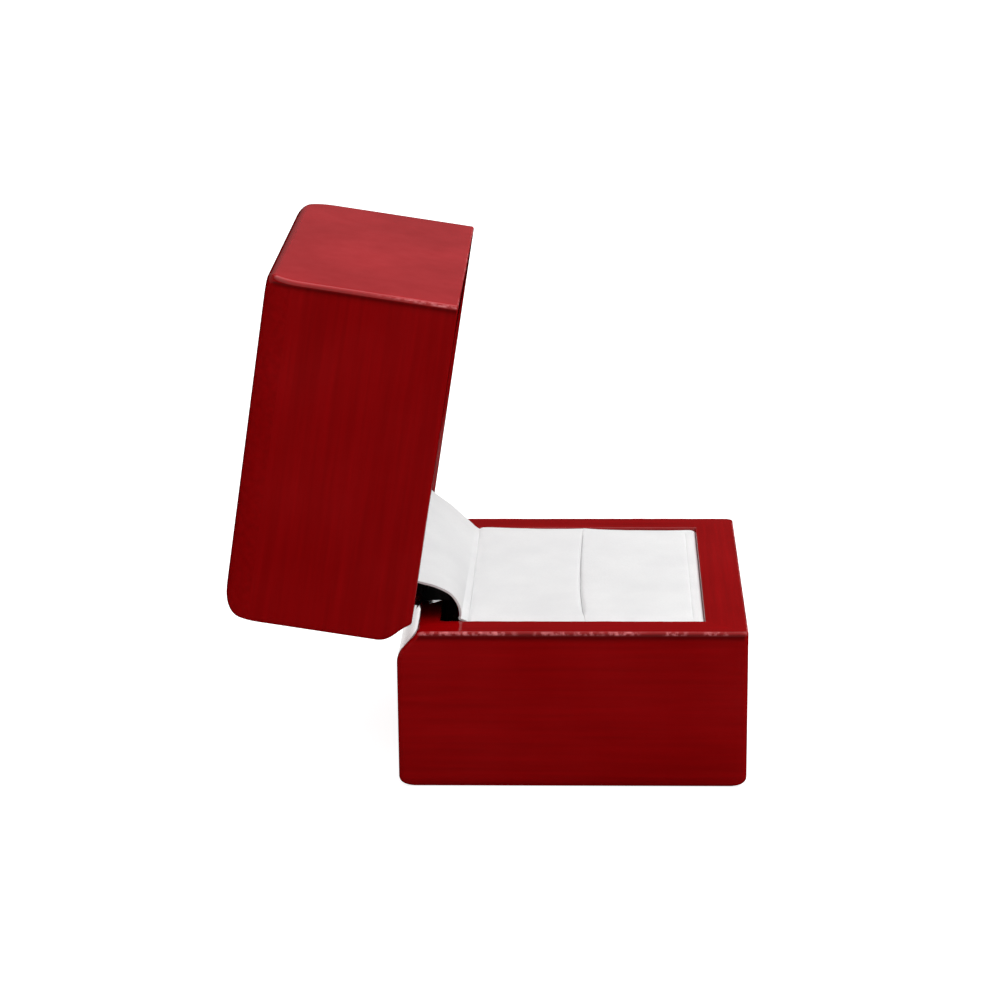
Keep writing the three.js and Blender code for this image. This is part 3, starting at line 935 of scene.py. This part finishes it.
def fitIntoWell(piece, v, low, high, up, seams):
    # the oversize pad is pressed into its room, and a shallow crease runs just inside its edges
    smooth = piece.modifiers.new("smooth", "SUBSURF")
    smooth.levels = smooth.render_levels = 1
    applyModifiers(piece)
    face = high.z if up > 0 else low.z
    middle = (low.y + high.y) / 2
    folds = [y + math.copysign(v["creaseFrom"], middle - y) for y in seams]
    planes = [fold + k * v["seamWidth"] * 0.8 for fold in folds for k in (-2, -1, 0, 1, 2)]
    planes += [high.y - k * v["rearRadius"] / 4 for k in (1, 2, 3, 4)]
    bm = bmesh.new()
    bm.from_mesh(piece.data)
    for y in planes:
        slicePlane(bm, Vector((0, y, 0)), Vector((0, 1, 0)))
    bm.to_mesh(piece.data)
    bm.free()
    even, uneven, noiseScale = v["creaseNoise"]
    for vert in piece.data.vertices:
        p = vert.co
        p.x = min(max(p.x, low.x), high.x)
        p.y = min(max(p.y, low.y), high.y)
        over = up * (p.z - face)
        if over > 0:
            p.z = face + up * v["dome"] * (1 - math.exp(-over / v["dome"]))
        if over > -v["creaseReach"]:
            away = min(abs(p.x - low.x), abs(p.x - high.x), *[abs(p.y - y) for y in seams])
            dip = v["sideCrease"] * math.exp(-(((away - v["creaseFrom"]) / v["creaseWidth"]) ** 2))
            nearest = min([abs(p.y - fold) for fold in folds] + [1])
            ends = smoothStep(min(p.x - low.x, high.x - p.x), *v["creaseEnd"])
            dip = max(dip, ends * math.exp(-((nearest / v["seamWidth"]) ** 2)))
            p.z -= up * v["creaseDepth"] * dip * (even + uneven * noise.noise(p * noiseScale))
    for polygon in piece.data.polygons:
        polygon.use_smooth = True


def padRoom(cad, v):
    # the room a pad fills: up to the walls, and up to the slit that it shares
    low, high = shutBox(f"{cad}_cover")
    low.x, high.x = low.x - v["growth"], high.x + v["growth"]
    slit = (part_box("front_pad_cover")[1].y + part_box("rear_pad_cover")[0].y) / 2
    if cad == "front_pad":
        low.y, high.y = low.y - v["growth"], slit - v["slit"] / 2
    if cad == "rear_pad":
        low.y, high.y = slit + v["slit"] / 2, high.y + v["rearReach"]
    return low, high, slit


def shapeTop(piece, v, low, high, slit):
    # the slit sways and opens towards one end, and the pads lie a little lower along the front and the left
    narrow, wide = v["slitRadius"]
    for vert in piece.data.vertices:
        p = vert.co
        nearTop = portion(p.z - high.z, -v["liftDepth"], 0)
        along = portion(high.x - p.x, 0, high.x - low.x)
        opening = smoothStep(min(p.x - low.x, high.x - p.x), *v["slitEnd"])
        away = abs(p.y - slit)
        if away < v["slit"]:
            p.y += math.copysign(v["slit"] / 2 * (1 - opening), slit - p.y)
        drop = roundInset(away, (narrow + (wide - narrow) * along**1.5) * opening)
        if high.y - slit > mm:
            drop += roundInset(high.y - p.y, v["rearRadius"])
        p.z -= drop * portion(p.z - high.z, -v["edgeDepth"], 0)
        lifted = smoothStep(p.x, v["liftFrom"], wellRight) * portion(p.y, *v["liftAlong"])
        p.z += nearTop * lifted * v["lift"]
        p.y += slitMove(p.x, v) * smoothStep(1 - away / v["swayReach"], 0, 1)


def makePads(v):
    plan = [
        ("frontRingPad", "base", "front_pad", 1),
        ("rearRingPad", "base", "rear_pad", 1),
        ("lidPad", "lid", "lid_pad", -1),
    ]
    inward = Vector((0, v["slitOversize"], 0))
    for name, body, cad, up in plan:
        low, high, slit = padRoom(cad, v)
        seams = {"front_pad": (low.y,), "rear_pad": (), "lid_pad": (low.y, high.y)}[cad]
        extra = Vector((v["oversize"], v["oversize"], 0)) if up > 0 else Vector()
        blockLow, blockHigh = low - extra, high + extra
        if cad == "rear_pad":
            blockLow -= inward
        if cad == "front_pad":
            blockHigh += inward
        piece = softBlock(name, blockLow, blockHigh, v, up)
        pumpUp(piece, low.z if up > 0 else high.z, v)
        fitIntoWell(piece, v, low, high, up, seams)
        if up > 0:
            shapeTop(piece, v, low, high, slit)
        settle(piece, body, "leatherette", f"{cad}_cover", f"{cad}_foam")


makePads(padShape)
print("pads made")

# lining of the lid

liningShape = {"edgeRadius": 0.5 * mm, "puff": 0.06 * mm, "puffScale": 90, "cell": 2.0 * mm}


def makeLining(v):
    for side in ("front", "rear", "left", "right"):
        low, high = shutBox(f"lid_liner_{side}")
        thin = 1 if side in ("front", "rear") else 0
        bm = boxMesh(low, high)
        bmesh.ops.bevel(bm, geom=bm.edges[:], offset=v["edgeRadius"], segments=4, profile=0.5, affect="EDGES")
        for axis in (1 - thin, 2):
            for k in range(1, int((high[axis] - low[axis]) / v["cell"])):
                at = low.copy()
                at[axis] = low[axis] + k * v["cell"]
                slicePlane(bm, at, Vector([1 if i == axis else 0 for i in range(3)]))
        for vert in bm.verts:
            vert.co[thin] += v["puff"] * noise.noise(vert.co * v["puffScale"])
        piece = linkMesh(f"lidLining{side.capitalize()}", bm, leatherette, 60)
        settle(piece, "lid", "leatherette", f"lid_liner_{side}")


makeLining(liningShape)
print("lid lining made")

# hinge flap and spring, made bent between the base and the open lid

flapShape = {
    "thickness": 0.36 * mm,
    "tail": 5.0 * mm,
    "sideGap": 0.1 * mm,
    "waist": 0.5 * mm,
    "gap": -0.14 * mm,
    "rimDrop": 0.2 * mm,
    "tight": ((0, 27.15), (0.35, 27.4), (0.8, 27.78), (1.35, 28.35), (2.3, 29.25), (3.6, 30.45), (5.2, 31.95)),
    "loose": ((0, 27.15), (0.7, 27.36), (1.25, 27.62), (1.1, 28.3), (1.45, 30.0), (2.75, 31.9), (5.3, 33.3)),
    "loosening": 1.8,
    "headY": 19.8 * mm,
    "tuck": (18.9 * mm, 1.4 * mm),
    "crumple": 0.056 * mm,
    "crumpleScale": 150,
    "across": 64,
    "along": 40,
    "tailSteps": 8,
}


def acrossHinge(point):
    # a point of the base's half, mirrored to where it lies on the open lid
    y, z = point
    forward, drop = y - hingeAxis.y, hingeAxis.z - z
    return (
        hingeAxis.y + forward * math.cos(openAngle) + drop * math.sin(openAngle),
        hingeAxis.z - forward * math.sin(openAngle) + drop * math.cos(openAngle),
    )


def alongCurve(points, count):
    # a smooth curve through the points, with evenly spaced steps in each part
    ends = [points[0] * 2 - points[1]] + points + [points[-1] * 2 - points[-2]]
    out = []
    for k in range(count + 1):
        at = k / count * (len(points) - 1)
        i = min(int(at), len(points) - 2)
        t = at - i
        a, b, c, d = ends[i:i + 4]
        square = a * 2 - b * 5 + c * 4 - d
        cubic = b * 3 - a - c * 3 + d
        out.append((b * 2 + (c - a) * t + square * t * t + cubic * t**3) / 2)
    return out


def bowPoints(start, bulge, count):
    # a soft bow between a point at the rim's level and the same point of the lid
    finish = Vector(acrossHinge(start))
    begin = Vector(start)
    out = Vector((math.cos(math.pi - openAngle / 2), math.sin(math.pi - openAngle / 2)))
    points = []
    for k in range(count + 1):
        t = k / count
        points.append(begin.lerp(finish, t) + out * bulge * math.sin(math.pi * t) ** 0.75)
    return points


def stripMesh(rows, thickness, backMaterial):
    # a thin closed strip about a grid of points; its back faces may carry a second material
    across, along = len(rows) - 1, len(rows[0]) - 1
    bm = bmesh.new()
    front, back = [], []
    for i in range(across + 1):
        front.append([])
        back.append([])
        for k in range(along + 1):
            side = rows[min(i + 1, across)][k] - rows[max(i - 1, 0)][k]
            run = rows[i][min(k + 1, along)] - rows[i][max(k - 1, 0)]
            outward = side.cross(run).normalized() * (thickness / 2)
            if outward.y > 0 and outward.z < 0:
                outward = -outward
            front[-1].append(bm.verts.new(rows[i][k] + outward))
            back[-1].append(bm.verts.new(rows[i][k] - outward))
    for i in range(across):
        for k in range(along):
            bm.faces.new((front[i][k], front[i + 1][k], front[i + 1][k + 1], front[i][k + 1]))
            hidden = bm.faces.new((back[i][k], back[i][k + 1], back[i + 1][k + 1], back[i + 1][k]))
            hidden.material_index = backMaterial
    for i in range(across):
        for k in (0, along):
            bm.faces.new((front[i][k], front[i + 1][k], back[i + 1][k], back[i][k]))
    for k in range(along):
        for i in (0, across):
            bm.faces.new((front[i][k], front[i][k + 1], back[i][k + 1], back[i][k]))
    return bm


def flapPath(share, v):
    # the section of the flap at one place across it: 0 is the loose end, 1 the tight end
    looseness = (1 - share) ** v["loosening"]
    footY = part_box("rear_pad_cover")[1].y + padShape["rearReach"] + v["gap"] + v["thickness"] / 2
    bend = []
    for tight, loose in zip(v["tight"], v["loose"]):
        y, z = Vector(tight).lerp(Vector(loose), looseness) * mm
        bend.append(Vector((footY + y, z)))
    finish = Vector(acrossHinge((v["headY"], hingeAxis.z - v["rimDrop"])))
    tuckY, tuckUp = v["tuck"]
    tucked = Vector(acrossHinge((tuckY, hingeAxis.z - tuckUp)))
    upward = (Vector(acrossHinge((tuckY, 0))) - tucked).normalized()
    path = []
    for k in range(v["tailSteps"]):
        path.append(bend[0] - Vector((0, v["tail"] * (1 - k / v["tailSteps"]))))
    path += alongCurve(bend + [finish, tucked], v["along"])
    for k in range(v["tailSteps"]):
        path.append(path[-1] + upward * v["tail"] / v["tailSteps"])
    return path


def makeFlap(v):
    rows = []
    half = wellRight - v["sideGap"]
    for i in range(v["across"] + 1):
        share = i / v["across"]
        row = []
        for k, point in enumerate(flapPath(share, v)):
            t = min(max((k - v["tailSteps"]) / v["along"], 0), 1)
            waist = v["waist"] * math.sin(math.pi * t) ** 0.8
            x = (share * 2 - 1) * (half - waist)
            crumple = v["crumple"] * noise.noise(Vector((x, point.x, point.y)) * v["crumpleScale"])
            crumple *= math.sin(math.pi * t)
            row.append(Vector((x, point.x + crumple, point.y - crumple)))
        rows.append(row)
    piece = linkMesh("hingeFlap", stripMesh(rows, v["thickness"], 1), leatherette, 60)
    # the flap's back faces take the near-black backing, painted shade for the recess below
    piece.data.materials.append(clothBackingPaintedShade)
    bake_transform(piece)
    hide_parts("hinge_cover")


springShape = {
    "thickness": 0.4 * mm,
    "drop": 4.6 * mm,
    "bulge": 0.25 * mm,
    "halfWidth": 4 * mm,
    "across": 8,
    "along": 18,
}


def makeSpring(v):
    start = (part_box("snap_spring")[0].y + v["thickness"] / 2, hingeAxis.z)
    foot = (start[0], start[1] - v["drop"])
    path = [Vector(foot)] + bowPoints(start, v["bulge"], v["along"]) + [Vector(acrossHinge(foot))]
    rows = []
    for i in range(v["across"] + 1):
        x = v["halfWidth"] * (2 * i / v["across"] - 1)
        rows.append([Vector((x, p.x, p.y)) for p in path])
    piece = linkMesh("snapSpring", stripMesh(rows, v["thickness"], 0), springSteel, 40)
    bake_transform(piece)
    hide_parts("snap_spring")


makeFlap(flapShape)
makeSpring(springShape)
print("flap and spring made")

# finishes of the parts that are kept as they are

keptFinish = {
    "base_floor": bareBoard,
    "base_felt": blackFelt,
    "pad_backing_board": greyCard,
    "lid_pad_board": greyCard,
    "hinge_base_leaf": bluedSteel,
    "hinge_lid_leaf": bluedSteel,
    "hinge_pin": springSteel,
    "base_leaf_screw_left": brassMetal,
    "base_leaf_screw_right": brassMetal,
    "lid_leaf_screw_left": brassMetal,
    "lid_leaf_screw_right": brassMetal,
}
edgeBreak = {"width": 0.07 * mm, "segments": 2, "angle": 38}


def finishKept(v):
    for name, material in keptFinish.items():
        part = nodes[name]
        part.data.materials.clear()
        part.data.materials.append(material)
        bevel = part.modifiers.new("brokenEdges", "BEVEL")
        bevel.width = v["width"]
        bevel.segments = v["segments"]
        bevel.limit_method = "ANGLE"
        bevel.angle_limit = math.radians(v["angle"])
        bevel.harden_normals = True
        for polygon in part.data.polygons:
            polygon.use_smooth = True


finishKept(edgeBreak)
print("kept parts finished")

# floor and light

lightSetup = {
    "floor": (0.62, 0.62, 0.62),
    "floorGlow": 0.88,
    "floorSize": 6,
    "key": {"aim": (0.05, 0.52, -1), "spread": 50, "strength": 1.5},
    "domeStrength": 1.3,
    "card": {"x": 0.10, "y": (0.028, 0.075), "z": (-0.02, 0.048), "level": 1.5},
    "dome": ((0.0, 0.0), (0.01, 0.07), (0.25, 0.07), (0.29, 0.02), (0.42, 0.02), (0.66, 1.0), (0.8, 1.0),
             (0.93, 0.4)),
}


def makeKey(v):
    key = bpy.data.lights.new("keyLight", "SUN")
    key.angle = math.radians(v["key"]["spread"])
    key.energy = v["key"]["strength"]
    key.specular_factor = 0
    lamp = bpy.data.objects.new("keyLight", key)
    toward = Vector(v["key"]["aim"]).to_track_quat("-Z", "Y").to_matrix().to_4x4()
    lamp.matrix_world = Matrix.Translation((0, 0, 1)) @ toward
    lamp.visible_glossy = False
    bpy.context.scene.collection.objects.link(lamp)


def makeFloor(v):
    bm = bmesh.new()
    bmesh.ops.create_grid(bm, x_segments=8, y_segments=8, size=v["floorSize"])
    material, tree, shader, _ = startMaterial("paleFloor", v["floor"], 0.9)
    shader.inputs["Specular IOR Level"].default_value = 0.1
    seen = addNode(tree, "ShaderNodeLightPath").outputs["Is Camera Ray"]
    shader.inputs["Emission Color"].default_value = (1, 1, 1, 1)
    glow = mathNode(tree, "MULTIPLY", seen, v["floorGlow"])
    tree.links.new(glow, shader.inputs["Emission Strength"])
    floor = linkMesh("studioFloor", bm, material)
    floor.location.z = cadBox[0][2]
    floor.visible_glossy = False


def makeCard(v):
    # a small white card stands beyond the hinge and shows only in the gloss of the hollowed rear edge
    card = v["card"]
    bm = bmesh.new()
    corners = [(y, z) for z in card["z"] for y in card["y"]]
    points = [bm.verts.new((card["x"], *corners[i])) for i in (0, 1, 3, 2)]
    bm.faces.new(points)
    material, _, shader, _ = startMaterial("whiteCard", (0.8, 0.8, 0.8), 0.9)
    shader.inputs["Emission Color"].default_value = (1, 1, 1, 1)
    shader.inputs["Emission Strength"].default_value = card["level"]
    piece = linkMesh("reflectorCard", bm, material)
    piece.visible_camera = piece.visible_diffuse = piece.visible_shadow = False
    lit = bpy.data.collections.new("cardLights")
    lit.objects.link(bpy.data.objects["baseRearBoard"])
    piece.light_linking.receiver_collection = lit


def makeDome(v):
    # light by height: faint above the horizon, darker over that, then the soft light, dimmer again overhead
    world = bpy.data.worlds.new("studio")
    world.use_nodes = True
    bpy.context.scene.world = world
    tree = world.node_tree
    place = addNode(tree, "ShaderNodeTexCoord")
    split = addNode(tree, "ShaderNodeSeparateXYZ")
    tree.links.new(place.outputs["Generated"], split.inputs[0])
    ramp = addNode(tree, "ShaderNodeValToRGB")
    tree.links.new(split.outputs["Z"], ramp.inputs[0])
    ramp.color_ramp.interpolation = "EASE"
    stops = ramp.color_ramp.elements
    while len(stops) < len(v["dome"]):
        stops.new(0.5)
    for stop, (height, level) in zip(stops, v["dome"]):
        stop.position = height
        stop.color = (level, level, level, 1)
    sky = tree.nodes["Background"]
    tree.links.new(ramp.outputs["Color"], sky.inputs["Color"])
    sky.inputs["Strength"].default_value = v["domeStrength"]
    paper = addNode(tree, "ShaderNodeBackground")
    paper.inputs["Color"].default_value = (1, 1, 1, 1)
    seen = addNode(tree, "ShaderNodeLightPath").outputs["Is Camera Ray"]
    mix = addNode(tree, "ShaderNodeMixShader")
    tree.links.new(seen, mix.inputs[0])
    tree.links.new(sky.outputs[0], mix.inputs[1])
    tree.links.new(paper.outputs[0], mix.inputs[2])
    tree.links.new(mix.outputs[0], tree.nodes["World Output"].inputs["Surface"])


makeKey(lightSetup)
makeFloor(lightSetup)
makeCard(lightSetup)
makeDome(lightSetup)
bpy.context.scene.view_settings.view_transform = "Standard"
print("studio set")
